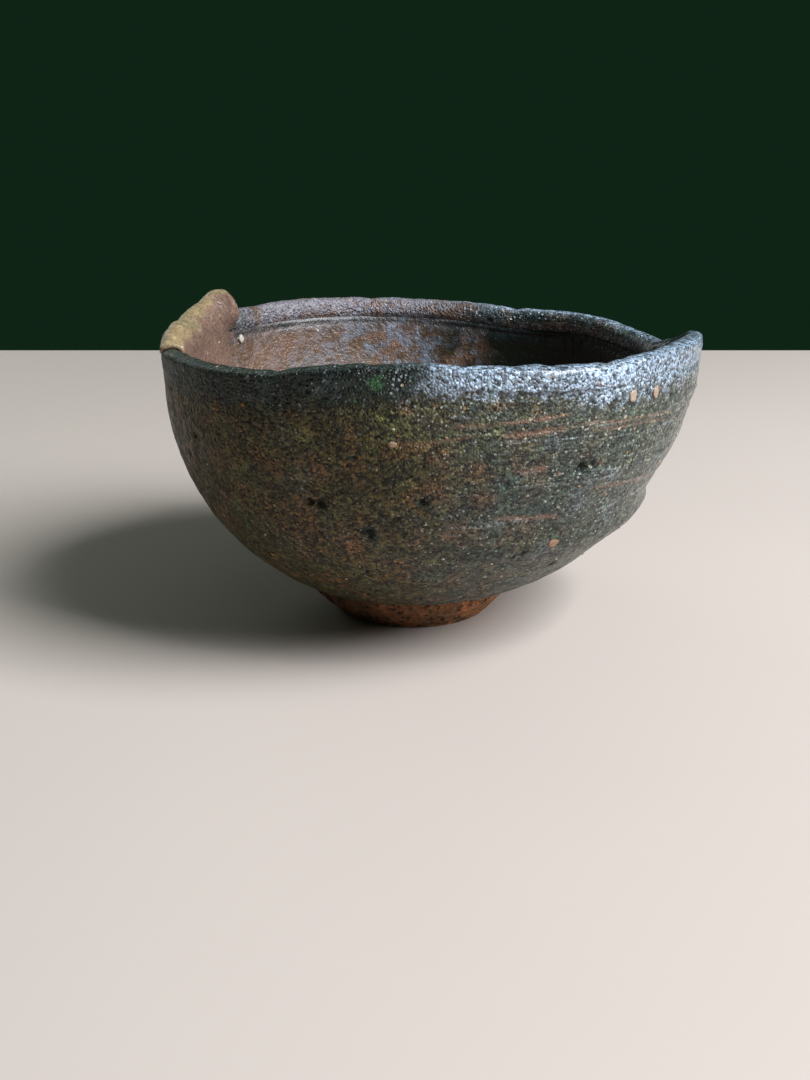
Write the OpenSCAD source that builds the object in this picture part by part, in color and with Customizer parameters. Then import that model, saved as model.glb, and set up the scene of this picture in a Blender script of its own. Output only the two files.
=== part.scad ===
// Matcha bowl: hand-formed stoneware, wavy rim with a folded lobe, on a turned foot.
// Millimetres. The origin is on the table under the middle of the bowl.
// +X runs to the pointed side of the rim, +Y to the back, +Z up.

/* [Bowl] */
// Reach of the rim from the foot's axis, on the lobe's side
left_r = 61.3; // [56:0.5:65]
// Reach of the rim from the foot's axis, on the pointed side
right_r = 68.6; // [64:0.5:74]
// Depth front to back as a share of the width
oval = 0.96; // [0.9:0.01:1]
// Mean height of the rim above the table
rim_h = 70.2; // [64:0.2:78]
// How much higher the front of the rim is than its mean
rim_tilt = 1.6; // [0:0.1:3]
// Fullness of the wall on the lobe's side: higher is steeper above
left_full = 2.65; // [2:0.05:3]
// Fullness of the wall on the pointed side
right_full = 2.3; // [1.9:0.05:2.8]
// How far the ledge left by the trimming knife stands out
ledge = 3.2; // [0:0.1:4]
// How far the point of the rim is drawn out
point_out = 1.6; // [0:0.1:4]

/* [Wall] */
// Thickness of the clay under the rim
wall = 3.7; // [3:0.1:5]
// Height of the inside floor above the table
floor_z = 14; // [13:0.2:16]
// Thickness of the outside glaze
glaze = 0.8; // [0.5:0.1:1]
// Thickness of the inside glaze
lining = 0.6; // [0.4:0.1:0.9]

/* [Rim] */
// Height of the rim band
coil_h = 5.2; // [4.4:0.2:6.6]
// How far the band stands out from the wall below it
coil_out = 0.9; // [0.4:0.1:1.4]
// Thickness of the folded lobe
flap_t = 2.4; // [1.6:0.1:3]
// How far the lobe stands above the rim
flap_up = 5.2; // [2:0.2:6]

/* [Foot] */
// Radius of the foot where it meets the wall
foot_r = 25.6; // [23:0.2:26.4]
// Radius of the foot where it stands
foot_base_r = 20; // [19:0.2:22]
// Height of the foot
foot_h = 9.6; // [8:0.2:10.4]
// Radius of the hollow under the foot
hollow_r = 14; // [12:0.5:15]
// Depth of the hollow under the foot
hollow_h = 5.6; // [4:0.2:6.4]

/* [Hidden] */
$fn = 96;
stations = 72;
rings = 14;
inner_rings = 11;
flap_first = 5;
play = 0.05;
stone_depth = 0.55;
pit_depth = 0.6;
foot_x = (left_r - right_r - point_out * 0.9) / 2;
lip_z = foot_h - 0.75;

// Bumps and dips along the rim: bearing, height, width
waves = [[15, -4.4, 12], [40, -0.8, 14], [62, -1.2, 9], [0, 1.6, 7], [118, 2.4, 30], [182, -3.2, 12],
         [222, -1.6, 18], [268, 1.8, 12], [288, 0.7, 12], [334, 1.6, 17]];

// Bumps and hollows of the wall: bearing, share of the height, depth, width, height
dents = [[0, 0.48, -1.1, 38, 0.07], [300, 0.22, 0.6, 26, 0.07], [238, 0.34, 0.4, 20, 0.10],
         [205, 0.5, -0.4, 16, 0.12], [262, 0.62, -0.5, 22, 0.10], [318, 0.6, 0.5, 16, 0.10],
         [120, 0.35, 0.7, 30, 0.12], [60, 0.6, -0.6, 22, 0.14],
         [355, 0.83, 0.9, 22, 0.06], [350, 0.24, -0.6, 30, 0.05]];

// Stones: bearing, height, radius
stones = [[313, 64.2, 1.1], [320, 63.6, 1.3], [235, 63, 0.8], [226, 61, 0.9], [266, 57.6, 1.2],
          [150, 48, 1.0], [95, 55, 1.1], [60, 35, 0.9], [20, 48, 0.9], [303, 31.7, 1.2], [230, 26, 0.9],
          [118, 27, 1.0]];

// Pits where grit has fallen out: bearing, height, radius
pits = [[303.5, 49.9, 1.5], [249, 42.9, 1.4], [260.5, 36.4, 1.1], [271.7, 44.7, 0.9], [216, 52.9, 1.1],
        [326, 62.5, 1.1], [40, 40, 1.2], [172, 38, 1.1], [100, 33, 1.2]];

function mix(p, q, s) = p + (q - p) * s;
function turn(d) = ((d + 900) % 360) - 180;
function hill(a, at, w) = exp(-pow(turn(a - at) / w, 2) / 2);
function sum(v, i = 0) = i < len(v) ? v[i] + sum(v, i + 1) : 0;
function side(a) = (1 + cos(a)) / 2;
function bearing(i) = i * 360 / stations;

// Top of the rim at bearing a
function rim_z(a) = rim_h - rim_tilt * sin(a) + sum([for (w = waves) w[1] * hill(a, w[0], w[2])]);
function band_z(a) = rim_z(a) - coil_h;

// Radius of the outside at bearing a and height z
function share(t, n, m) = pow(1 - pow(1 - t, n), 1 / m);
function reach(a, z) =
    let (t = max(0, min(1, (z - lip_z) / (rim_z(a) - lip_z))), s = side(a))
    foot_r + 0.3 + (mix(left_r, right_r, s) - coil_out - foot_r - 0.3)
        * share(t, mix(left_full, right_full, s), mix(1.3, 1.4, s))
    + ledge * (0.3 * pow(s, 3) + 0.7 * hill(a, 8, 16)) * exp(-pow((t - 0.318) / 0.044, 2) / 2)
    + point_out * hill(a, 1, 12) * pow(t, 5)
    + sum([for (d = dents) d[2] * hill(a, d[0], d[3]) * exp(-pow((t - d[1]) / d[4], 2) / 2)]);

// Outside of the glaze, outside of the clay, inside of the clay and inside of the lining
function glaze_pt(a, k) = let (z = lip_z + (band_z(a) - lip_z) * pow(k / rings, 1.5)) [reach(a, z), z];
function clay_pt(a, k) = k == 0 ? [foot_r, foot_h]
    : k == rings ? glaze_pt(a, k) - [glaze, 0]
    : let (d = glaze_pt(a, k + 1) - glaze_pt(a, k - 1)) glaze_pt(a, k) - glaze * [d.y, -d.x] / norm(d);
function inner_share(u) = pow(1 - pow(1 - u * u, 2.2), 0.5);
function inner_pt(a, k, t) = let (u = k / inner_rings, r = glaze_pt(a, rings).x - glaze - wall)
    [(r - t) * inner_share(u), floor_z - lining + t + (band_z(a) - floor_z + lining - t) * u * u];
function clay_in(a, k) = inner_pt(a, k, 0);
function lining_in(a, k) = inner_pt(a, k, lining);

// The band's section, from its outer foot over the top to its inner foot: share of the width and height
coil_out_pts = [[0, 0], [0.85, 0.1], [1, 0.33], [0.9, 0.62]];
coil_top_pts = [[0.02, 0.86], [0.27, 0.97], [0.5, 1], [0.76, 0.94], [0.95, 0.76], [1.04, 0.48], [1.03, 0.2]];
function coil_w(a) = glaze + wall + lining - 0.8 * hill(a, 0, 9);
function coil_step(a) = coil_out * (1 - 0.8 * hill(a, 0, 14));   // no step under the band at the point
function coil_outside(a) = let (g = glaze_pt(a, rings))
    [for (p = coil_out_pts) [g.x + coil_step(a) * p.x, g.y + coil_h * p.y]];
function coil_top(a) = let (g = glaze_pt(a, rings), w = coil_w(a))
    [for (p = coil_top_pts) [g.x + coil_step(a) * 0.5 - (w + coil_step(a) * 0.5) * p.x, g.y + coil_h * p.y]];

// The lobe: how high and how thick at bearing a
function flap_lift(a) = min(1, (a - 141) / 8) * flap_up * (0.98 * hill(a, 152, 9) + 0.85 * hill(a, 180, 12)) + 0.4;
function flap_thick(a) = flap_t * min(1, (193 - a) / 22);
function flap_bed(a) = concat([for (k = [flap_first:inner_rings]) lining_in(a, k)],
    [for (i = [6:-1:0]) coil_top(a)[i]]);
function flap_face(a) =
    let (bed = flap_bed(a), t = flap_thick(a), up = flap_lift(a), n = inner_rings - flap_first)
    concat([for (k = [0:n]) bed[k] + t * min(1, 0.12 + k * 0.25) * [-0.9, 0.35 * (1 - k / n)]],
        [bed[n + 1] + [-t, up * 0.1], bed[n + 2] + [-t, up * 0.35], bed[n + 3] + [-t * 0.9, up * 0.72],
         bed[n + 4] + [-t * 0.5, up * 0.96], bed[n + 5] + [0, up + 0.1], bed[n + 6] + [0.25, up * 0.8],
         bed[n + 7] + [0.3, up * 0.35]]);

// Sections swept round the foot's axis. Neighbours share points and diagonals, so their faces meet.
function place(a, p) = [foot_x + p.x * cos(a), oval * p.x * sin(a), p.y];
function quad(i0, i1, p, q, j0, j1) = p.x + 0.37 * p.y > q.x + 0.37 * q.y
    ? [[i0 + j0, i0 + j1, i1 + j1], [i0 + j0, i1 + j1, i1 + j0]]
    : [[i0 + j0, i0 + j1, i1 + j0], [i0 + j1, i1 + j1, i1 + j0]];

// A closed section carried all the way round
module hoop(sections) {
    m = len(sections[0]);
    n = len(sections);
    polyhedron(
        [for (i = [0:n - 1]) for (p = sections[i]) place(bearing(i), p)],
        [for (i = [0:n - 1]) for (j = [0:m - 1])
            each quad(i * m, (i + 1) % n * m, sections[i][j], sections[i][(j + 1) % m], j, (j + 1) % m)],
        convexity = 6);
}

// An open section carried all the way round, closed at the axis at heights z0 and z1
module dish(sections, z0, z1) {
    m = len(sections[0]);
    n = len(sections);
    polyhedron(
        [for (i = [0:n - 1]) for (p = sections[i]) place(bearing(i), p), [foot_x, 0, z0], [foot_x, 0, z1]],
        concat(
            [for (i = [0:n - 1]) for (j = [0:m - 2])
                each quad(i * m, (i + 1) % n * m, sections[i][j], sections[i][j + 1], j, j + 1)],
            [for (i = [0:n - 1]) [n * m, i * m, (i + 1) % n * m]],
            [for (i = [0:n - 1]) [i * m + m - 1, n * m + 1, (i + 1) % n * m + m - 1]]),
        convexity = 6);
}

// A section carried part of the way round: bed and face are its two sides, point for point
module leaf(angles, beds, faces) {
    h = len(beds[0]);
    m = 2 * h;
    n = len(angles);
    loops = [for (i = [0:n - 1]) concat(beds[i], [for (j = [h - 1:-1:0]) faces[i][j]])];
    polyhedron(
        [for (i = [0:n - 1]) for (p = loops[i]) place(angles[i], p)],
        concat(
            [for (i = [0:n - 2]) for (j = [0:m - 1])
                each quad(i * m, (i + 1) * m, loops[i][j], loops[i][(j + 1) % m], j, (j + 1) % m)],
            [for (j = [0:h - 2]) each [[j, m - 1 - j, m - 2 - j], [j, m - 2 - j, j + 1]]],
            [for (j = [0:h - 2]) let (e = (n - 1) * m)
                each [[e + j, e + m - 2 - j, e + m - 1 - j], [e + j, e + j + 1, e + m - 2 - j]]]),
        convexity = 6);
}

// A flattened ball centred on the wall's surface, flat side to the wall: at = [bearing, height, radius]
module bead(at, depth) {
    slope = atan2(reach(at[0], at[1] + 1) - reach(at[0], at[1] - 1), 2);
    translate(place(at[0], [reach(at[0], at[1]), at[1]])) rotate([0, slope, at[0]])
        scale([depth, at[2], at[2] * 0.8]) rotate([0, 90, 0]) sphere(1, $fn = 10);
}

module bowl_body() {
    color([0.42, 0.27, 0.2])
        dish([for (i = [0:stations - 1]) let (a = bearing(i)) concat(
                [[7, hollow_h - 0.2], [hollow_r - play, hollow_h], [hollow_r - play, foot_h]],
                [for (k = [0:rings]) clay_pt(a, k)],
                [for (k = [inner_rings:-1:1]) clay_in(a, k)])],
            hollow_h - 0.9, floor_z - lining);
}

module outer_glaze() {
    color([0.22, 0.19, 0.16])
        difference() {
            hoop([for (i = [0:stations - 1]) let (a = bearing(i)) concat(
                [for (k = [0:rings]) glaze_pt(a, k)], [for (k = [rings:-1:0]) clay_pt(a, k)])]);
            for (s = stones) bead(s, stone_depth);
            for (p = pits) bead(p, pit_depth);
        }
}

module inner_glaze() {
    color([0.3, 0.22, 0.2])
        dish([for (i = [0:stations - 1]) let (a = bearing(i)) concat(
                [for (k = [1:inner_rings]) clay_in(a, k)], [for (k = [inner_rings:-1:1]) lining_in(a, k)])],
            floor_z - lining, floor_z);
}

module rim_coil() {
    color([0.16, 0.18, 0.22])
        hoop([for (i = [0:stations - 1]) let (a = bearing(i)) concat(coil_outside(a), coil_top(a),
                [lining_in(a, inner_rings), clay_in(a, inner_rings), clay_pt(a, rings)])]);
}

module overlap_flap() {
    angles = [for (a = [145:5:190]) a];
    color([0.6, 0.48, 0.25])
        leaf(angles, [for (a = angles) flap_bed(a)], [for (a = angles) flap_face(a)]);
}

module foot_ring() {
    b = foot_base_r;
    color([0.36, 0.16, 0.1])
        translate([foot_x, 0, 0]) rotate_extrude() polygon([
            [hollow_r, foot_h], [hollow_r, hollow_h - 1], [hollow_r + 0.3, 2], [hollow_r + 0.9, 0.7],
            [hollow_r + 2, 0.1], [hollow_r + 2.8, 0], [b - 1.2, 0], [b - 0.4, 0.2], [b + 0.1, 0.8],
            [b + 1.5, 2.2], [b + 3.4, 4.4], [mix(b, foot_r, 0.9), 6.2], [foot_r - 0.05, foot_h]]);
}

module stone_grit() {
    color([0.75, 0.68, 0.55]) for (s = stones) bead(s, stone_depth);
}

bowl_body();
rim_coil();
overlap_flap();
foot_ring();
outer_glaze();
inner_glaze();
stone_grit();
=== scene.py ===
import math
import bpy
import bmesh
import numpy as np
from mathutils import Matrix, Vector


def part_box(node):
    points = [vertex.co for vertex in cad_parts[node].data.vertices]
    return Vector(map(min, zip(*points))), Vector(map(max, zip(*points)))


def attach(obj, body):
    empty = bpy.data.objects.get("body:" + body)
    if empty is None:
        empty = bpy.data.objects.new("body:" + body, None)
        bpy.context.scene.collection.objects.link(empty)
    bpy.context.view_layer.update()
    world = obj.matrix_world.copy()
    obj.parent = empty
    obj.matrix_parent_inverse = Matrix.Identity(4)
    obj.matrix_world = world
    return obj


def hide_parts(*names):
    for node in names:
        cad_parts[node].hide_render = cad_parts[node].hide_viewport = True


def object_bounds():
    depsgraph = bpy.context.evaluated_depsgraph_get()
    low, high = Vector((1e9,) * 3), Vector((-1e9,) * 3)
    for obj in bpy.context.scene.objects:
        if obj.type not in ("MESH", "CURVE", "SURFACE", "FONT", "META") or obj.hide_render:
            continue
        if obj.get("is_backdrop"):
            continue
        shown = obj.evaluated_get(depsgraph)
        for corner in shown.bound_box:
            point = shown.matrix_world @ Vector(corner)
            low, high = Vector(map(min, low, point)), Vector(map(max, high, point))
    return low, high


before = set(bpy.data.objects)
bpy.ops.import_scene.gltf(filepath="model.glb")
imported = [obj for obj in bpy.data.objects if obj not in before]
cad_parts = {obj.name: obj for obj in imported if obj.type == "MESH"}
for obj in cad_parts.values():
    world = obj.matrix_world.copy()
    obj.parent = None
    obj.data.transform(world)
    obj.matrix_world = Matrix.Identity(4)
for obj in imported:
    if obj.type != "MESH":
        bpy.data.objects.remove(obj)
cadLow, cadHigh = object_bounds()
mm = 0.001
print("frame loaded:", ", ".join(sorted(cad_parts)))

# the bowl's shape: bearings in degrees, 0 at the pointed side, 270 at the front; sizes in mm
footLow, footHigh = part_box("foot_ring")
bowl = {
    "footX": (footLow.x + footHigh.x) / 2 / mm, "oval": 0.96,
    "leftReach": 61.3, "rightReach": 68.6, "leftFull": 2.65, "rightFull": 2.3,
    "ledge": 3.9, "pointOut": 1.6,
    "rimHeight": 70.2, "rimTilt": 1.6,
    "footTop": 25.6, "footHeight": footHigh.z / mm,
    "glaze": 0.8, "wall": 3.7, "lining": 0.6, "floorHeight": 14.0,
    "bandHeight": 5.2, "bandProud": 0.9,
    "rimWaves": [(15, -4.4, 12), (40, -0.8, 14), (62, -1.2, 9), (0, 1.6, 7), (118, 2.4, 30), (182, -3.2, 12),
                 (222, -1.6, 18), (268, 1.8, 12), (288, 0.7, 12), (334, 1.6, 17)],
    "dents": [(0, 0.48, -1.1, 38, 0.07), (300, 0.22, 0.6, 26, 0.07), (238, 0.34, 0.4, 20, 0.10),
              (205, 0.5, -0.4, 16, 0.12), (262, 0.62, -0.5, 22, 0.10), (318, 0.6, 0.5, 16, 0.10),
              (120, 0.35, 0.7, 30, 0.12), (60, 0.6, -0.6, 22, 0.14), (355, 0.83, 0.9, 22, 0.06),
              (350, 0.24, -0.6, 30, 0.05)],
}
lipHeight = bowl["footHeight"] - 0.75


def bearingGap(bearing, at):
    return (bearing - at + 540) % 360 - 180


def hill(bearing, at, width):
    return np.exp(-((bearingGap(bearing, at) / width) ** 2) / 2)


def allRound(stations):
    return np.arange(stations) * 360 / stations


def flatPlace(r, bearing):
    angle = np.radians(bearing)
    return r * np.cos(angle), r * np.sin(angle)


def ramp(value, start, end):
    t = np.clip((value - start) / (end - start), 0, 1)
    return t * t * (3 - 2 * t)


# smooth lumps of a given size, from -1 to 1
def softNoise(x, y, z, size, seed):
    table = np.random.default_rng(seed).random((24, 24, 24))
    cells, parts = [], []
    for v in np.broadcast_arrays(x, y, z):
        base = np.floor(v / size).astype(int)
        t = v / size - base
        cells.append(base)
        parts.append(t * t * (3 - 2 * t))
    total = 0
    for dx in (0, 1):
        for dy in (0, 1):
            for dz in (0, 1):
                weight = (parts[0] if dx else 1 - parts[0]) * (parts[1] if dy else 1 - parts[1]) \
                    * (parts[2] if dz else 1 - parts[2])
                total = total + weight * table[(cells[0] + dx) % 24, (cells[1] + dy) % 24, (cells[2] + dz) % 24]
    return total * 2 - 1


# layers of lumps, each with size, height, seed
def lumps(x, y, z, layers):
    return sum(height * softNoise(x, y, z, size, seed) for size, height, seed in layers)


def rimTop(bearing):
    z = bowl["rimHeight"] - bowl["rimTilt"] * np.sin(np.radians(bearing))
    for at, height, width in bowl["rimWaves"]:
        z = z + height * hill(bearing, at, width)
    return z


def wallReach(bearing, z):
    top = rimTop(bearing)
    t = np.clip((z - lipHeight) / (top - lipHeight), 0, 1)
    side = (1 + np.cos(np.radians(bearing))) / 2
    full = bowl["leftFull"] + (bowl["rightFull"] - bowl["leftFull"]) * side
    share = (1 - (1 - t) ** full) ** (1 / (1.3 + 0.1 * side))
    rim = bowl["leftReach"] + (bowl["rightReach"] - bowl["leftReach"]) * side - bowl["bandProud"]
    start = bowl["footTop"] + 0.3
    r = start + (rim - start) * share
    r = r + bowl["ledge"] * (0.3 * side ** 3 + 0.7 * hill(bearing, 8, 16)) * np.exp(-(((t - 0.325) / 0.042) ** 2) / 2)
    r = r + bowl["pointOut"] * hill(bearing, 1, 12) * t ** 5
    for at, share0, depth, width, spread in bowl["dents"]:
        r = r + depth * hill(bearing, at, width) * np.exp(-(((t - share0) / spread) ** 2) / 2)
    return r


# inside of the clay (inset 0) or of the lining, from the floor's middle (u 0) to the band (u 1)
def liningPoint(bearing, u, inset):
    band = rimTop(bearing) - bowl["bandHeight"]
    reach = wallReach(bearing, band) - bowl["glaze"] - bowl["wall"]
    low = bowl["floorHeight"] - bowl["lining"] + inset
    return (reach - inset) * np.sqrt(1 - (1 - u * u) ** 2.2), low + (band - low) * u * u


# outward normals of sections that run up the outside, in the plane of bearing
def sectionNormals(r, z):
    dr, dz = np.gradient(r, axis=1), np.gradient(z, axis=1)
    length = np.hypot(dr, dz) + 1e-9
    return dz / length, -dr / length


# Catmull-Rom curve through points of shape (stations, controls, 2)
def splineThrough(points, count, closed=False):
    n = points.shape[1]
    t = np.linspace(0, n if closed else n - 1, count, endpoint=not closed)
    i = np.minimum(t.astype(int), n - 1 if closed else n - 2)
    f = (t - i)[None, :, None]
    pick = (lambda k: points[:, k % n]) if closed else (lambda k: points[:, np.clip(k, 0, n - 1)])
    a, b, c, d = pick(i - 1), pick(i), pick(i + 1), pick(i + 2)
    return 0.5 * (2 * b + (c - a) * f + (2 * a - 5 * b + 4 * c - d) * f ** 2 + (3 * b - a - 3 * c + d) * f ** 3)


# a grid of sections (stations x points) swept round the foot's axis, with named float marks per point
def sweepMesh(name, bearings, r, z, marks, loop=True, round360=True, poles=()):
    stations, points = r.shape
    angle = np.radians(bearings)[:, None]
    co = np.stack([bowl["footX"] + r * np.cos(angle), bowl["oval"] * r * np.sin(angle), z], -1).reshape(-1, 3)
    i, j = np.meshgrid(np.arange(stations if round360 else stations - 1),
                       np.arange(points if loop else points - 1), indexing="ij")
    i2, j2 = (i + 1) % stations, (j + 1) % points
    quads = np.stack([i * points + j, i2 * points + j, i2 * points + j2, i * points + j2], -1).reshape(-1, 4)
    faces = quads.tolist()
    extra = []
    for end, height in poles:  # end 0 closes the first points, end 1 the last
        k = len(co) + len(extra)
        extra.append((bowl["footX"], 0, height))
        column = 0 if end == 0 else points - 1
        for s in range(stations):
            a, b = s * points + column, (s + 1) % stations * points + column
            faces.append([k, b, a] if end == 0 else [a, b, k])
    co = np.vstack([co, np.array(extra).reshape(-1, 3)]) * mm
    mesh = bpy.data.meshes.new(name)
    mesh.from_pydata(co.tolist(), [], faces)
    for mark, values in marks.items():
        layer = mesh.attributes.new(mark, "FLOAT", "POINT")
        flat = np.concatenate([np.broadcast_to(values, r.shape).reshape(-1), np.zeros(len(extra))])
        layer.data.foreach_set("value", flat.astype(np.float32))
    mesh.polygons.foreach_set("use_smooth", np.ones(len(faces), bool))
    mesh.update()
    obj = bpy.data.objects.new(name, mesh)
    bpy.context.scene.collection.objects.link(obj)
    return obj


# marks left in the clay
clayMarks = {
    "lumps": [(15, 0.30, 11), (5.5, 0.15, 12), (2.4, 0.07, 13)],  # size, height, seed
    "lineDepth": 0.15, "linePitch": 0.95, "lineBearing": 318, "lineSpread": 42, "pitReach": 6,
    # from bearing, height, to bearing, height, depth, width
    "grooves": [(285, 58.9, 301.4, 59.9, 0.42, 0.55), (301, 60.2, 329, 58.4, 0.16, 0.35),
                (303, 58.8, 326, 57.2, 0.12, 0.3), (266, 57.0, 279, 58.9, 0.22, 0.4),
                (285.5, 40.2, 302.5, 38.8, 0.26, 0.45), (289, 50.8, 295.5, 51.2, 0.3, 0.45),
                (276, 61.2, 300, 62.6, 0.12, 0.35), (306, 45.0, 334, 42.0, 0.14, 0.4),
                (120, 52, 160, 54, 0.2, 0.4), (70, 44, 108, 42, 0.22, 0.45), (20, 55, 52, 56.5, 0.18, 0.4)],
    # bearing, height, radius, depth
    "pits": [(303.3, 49.8, 1.5, 1.2), (305.7, 50.7, 0.9, 0.6), (248.0, 42.9, 1.05, 0.85), (250.1, 42.7, 1.1, 0.9),
             (260.5, 36.4, 1.15, 0.8), (258.9, 37.2, 0.5, 0.4), (271.7, 44.7, 0.9, 0.8), (266.6, 40.5, 0.5, 0.45),
             (287.7, 48.3, 0.7, 0.35), (251.2, 57.3, 0.6, 0.3), (216.4, 52.9, 0.7, 0.6), (326.4, 62.2, 0.8, 0.6),
             (296.1, 29.7, 0.5, 0.5), (293.8, 29.2, 0.45, 0.45), (308.6, 23.7, 0.6, 0.5), (258, 25.2, 0.5, 0.45),
             (287.1, 15.0, 0.5, 0.4), (40, 40, 1.0, 0.7), (172, 38, 0.9, 0.6), (100, 33, 1.0, 0.7),
             (131, 47, 0.7, 0.5), (76, 58, 0.7, 0.45), (12, 30, 0.8, 0.5), (196, 28, 0.7, 0.5)],
    "smallPits": 110, "smallPitSeed": 21, "smallPitHeights": (12, 66),
    # stains in the glaze: bearing, height, radius
    "rust": [(251, 50.5, 3.0), (274, 47.0, 3.4), (275, 54.5, 2.6), (245.5, 39, 3.4), (256, 33.5, 3.6),
             (281, 51, 2.6), (283, 45, 3.2), (279, 37, 3.6), (271, 70.2, 1.1), (269.3, 68.4, 0.9),
             (268.5, 65.4, 1.7), (251.8, 66, 1.0), (303.5, 53.5, 1.4), (307.5, 51, 1.0), (237, 53, 2.6),
             (60, 50, 4), (110, 40, 4), (150, 52, 3)],
    "green": [(263.2, 70.2, 1.8)],
    "teal": [(260.5, 36.4, 2.4), (288, 48.4, 2.4), (271.7, 44.7, 2.0), (252, 57.3, 1.4), (294, 28, 4.0),
             (296, 41, 3.0), (30, 44, 3), (200, 45, 4)],
    "moss": [(266, 57.5, 1.5), (264, 62.5, 2.0), (249, 58, 1.8), (271, 58.4, 1.0), (257.8, 70.3, 0.8),
             (285, 60, 1.6)],
    "frost": [(305, 43, 4.6), (301, 29, 3.6), (312, 47, 3.4), (318, 34, 4), (296, 57, 3), (80, 45, 5)],
}


def pitList(seed, count, lowest, highest):
    rng = np.random.default_rng(seed)
    return [(rng.uniform(0, 360), rng.uniform(lowest, highest), rng.uniform(0.28, 0.6), rng.uniform(0.18, 0.42))
            for _ in range(count)]


# how deep the pits go at each point, and how much of a pit each point is
def pressPits(bearing, r, z, pits):
    depth, mark = np.zeros_like(r), np.zeros_like(r)
    x, y = flatPlace(r, bearing)
    ragged = 1 + 0.35 * softNoise(x, y, z, 0.9, 31)
    for at, height, radius, deep in pits:
        rows = np.abs(bearingGap(bearing[:, 0], at)) < clayMarks["pitReach"]
        if not rows.any():
            continue
        arc = np.radians(bearingGap(bearing[rows], at)) * r[rows]
        far = np.hypot(arc, (z[rows] - height)) / (radius * ragged[rows])
        inside = np.exp(-(far ** 4))
        depth[rows] += deep * inside - 0.12 * deep * np.exp(-((far - 1.5) ** 2) * 6)
        mark[rows] = np.maximum(mark[rows], inside * min(1, deep / 0.5))
    return depth, mark


# how much of each stain there is at each point
def stainMarks(bearing, r, z):
    x, y = flatPlace(r, bearing)
    ragged = 1 + 0.5 * softNoise(x, y, z, 1.7, 32) + 0.25 * softNoise(x, y, z, 0.7, 33)
    painted = {}
    for name in ("rust", "green", "teal", "moss", "frost"):
        painted[name] = np.zeros_like(r)
        for at, height, radius in clayMarks[name]:
            arc = np.radians(bearingGap(bearing, at)) * r
            far = np.hypot(arc, z - height) / (radius * ragged)
            painted[name] = np.maximum(painted[name], 1 - ramp(far, 0.35, 1.25))
    return painted


# push along the normal in mm, with the marks that colour the glaze
def clayRelief(bearing, r, z):
    x, y = flatPlace(r, bearing)
    push = lumps(x, y, z, clayMarks["lumps"])
    tilt = z + 0.35 * np.sin(np.radians(bearing * 2 + 30))
    strength = 0.22 + 0.78 * hill(bearing, clayMarks["lineBearing"], clayMarks["lineSpread"]) * ramp(z, 30, 40)
    lines = softNoise(x / 14, y / 14, tilt, clayMarks["linePitch"], 41)
    lines = lines + 0.7 * softNoise(x / 12, y / 12, tilt, 2.6, 42)
    push = push + clayMarks["lineDepth"] * strength * lines
    groove = np.zeros_like(r)
    for b0, z0, b1, z1, depth, width in clayMarks["grooves"]:
        t = (bearing - b0) / (b1 - b0)
        middle = z0 + (z1 - z0) * t + 0.25 * softNoise(x, y, z * 0, 3.5, 43)
        inside = np.exp(-(((z - middle) / width) ** 2)) * ramp(t, -0.02, 0.12) * (1 - ramp(t, 0.85, 1.02))
        inside = inside * (0.55 + 0.45 * softNoise(x, y, z * 0, 2.2, 44))
        push = push - depth * inside
        groove = np.maximum(groove, inside)
    small = pitList(clayMarks["smallPitSeed"], clayMarks["smallPits"], *clayMarks["smallPitHeights"])
    depth, pit = pressPits(bearing, r, z, clayMarks["pits"] + small)
    return push - depth, np.clip(groove, 0, 1), pit, np.clip(0.5 + 0.5 * lines * strength, 0, 1)


# outside coat
outsideCoat = {"stations": 560, "rows": 164, "backRows": 6, "thick": 2.2, "edgeWave": (7, 0.25, 51)}
bearings = allRound(outsideCoat["stations"])
b = bearings[:, None]
s = np.linspace(0, 1, outsideCoat["rows"])[None, :]
edge = lipHeight + lumps(*flatPlace(30, b), b * 0, [outsideCoat["edgeWave"]])  # size, height, seed
bandLow = rimTop(b) - bowl["bandHeight"]
z = edge + (bandLow + 0.5 - edge) * s ** 1.2
r = wallReach(b, z) - 0.5 * ramp(z, bandLow - 0.3, bandLow + 0.5)  # tucked in behind the band
nr, nz = sectionNormals(r, z)
push, groove, pit, line = clayRelief(b + r * 0, r, z)
push = push * ramp(s, 0, 0.03)
backShare = np.linspace(1, 0, outsideCoat["backRows"])[None, :]
zBack = edge + (bandLow - edge) * backShare ** 1.2
rBack = wallReach(b, zBack)
nrBack, nzBack = sectionNormals(rBack[:, ::-1], zBack[:, ::-1])
rBack, zBack = rBack - outsideCoat["thick"] * nrBack[:, ::-1], zBack - 0.3 * outsideCoat["thick"] * nzBack[:, ::-1]
marks = {"drop": np.hstack([rimTop(b) - z, zBack * 0 + 20]),
         "pit": np.hstack([pit, zBack * 0]), "groove": np.hstack([groove, zBack * 0]),
         "line": np.hstack([line, zBack * 0 + 0.5])}
for name, values in stainMarks(b + r * 0, r, z).items():
    marks[name] = np.hstack([values, zBack * 0])
wallCoat = sweepMesh("wallCoat", bearings, np.hstack([r + push * nr, rBack]), np.hstack([z + push * nz, zBack]),
                     marks)
print("outside coat:", len(wallCoat.data.polygons), "faces")

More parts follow.
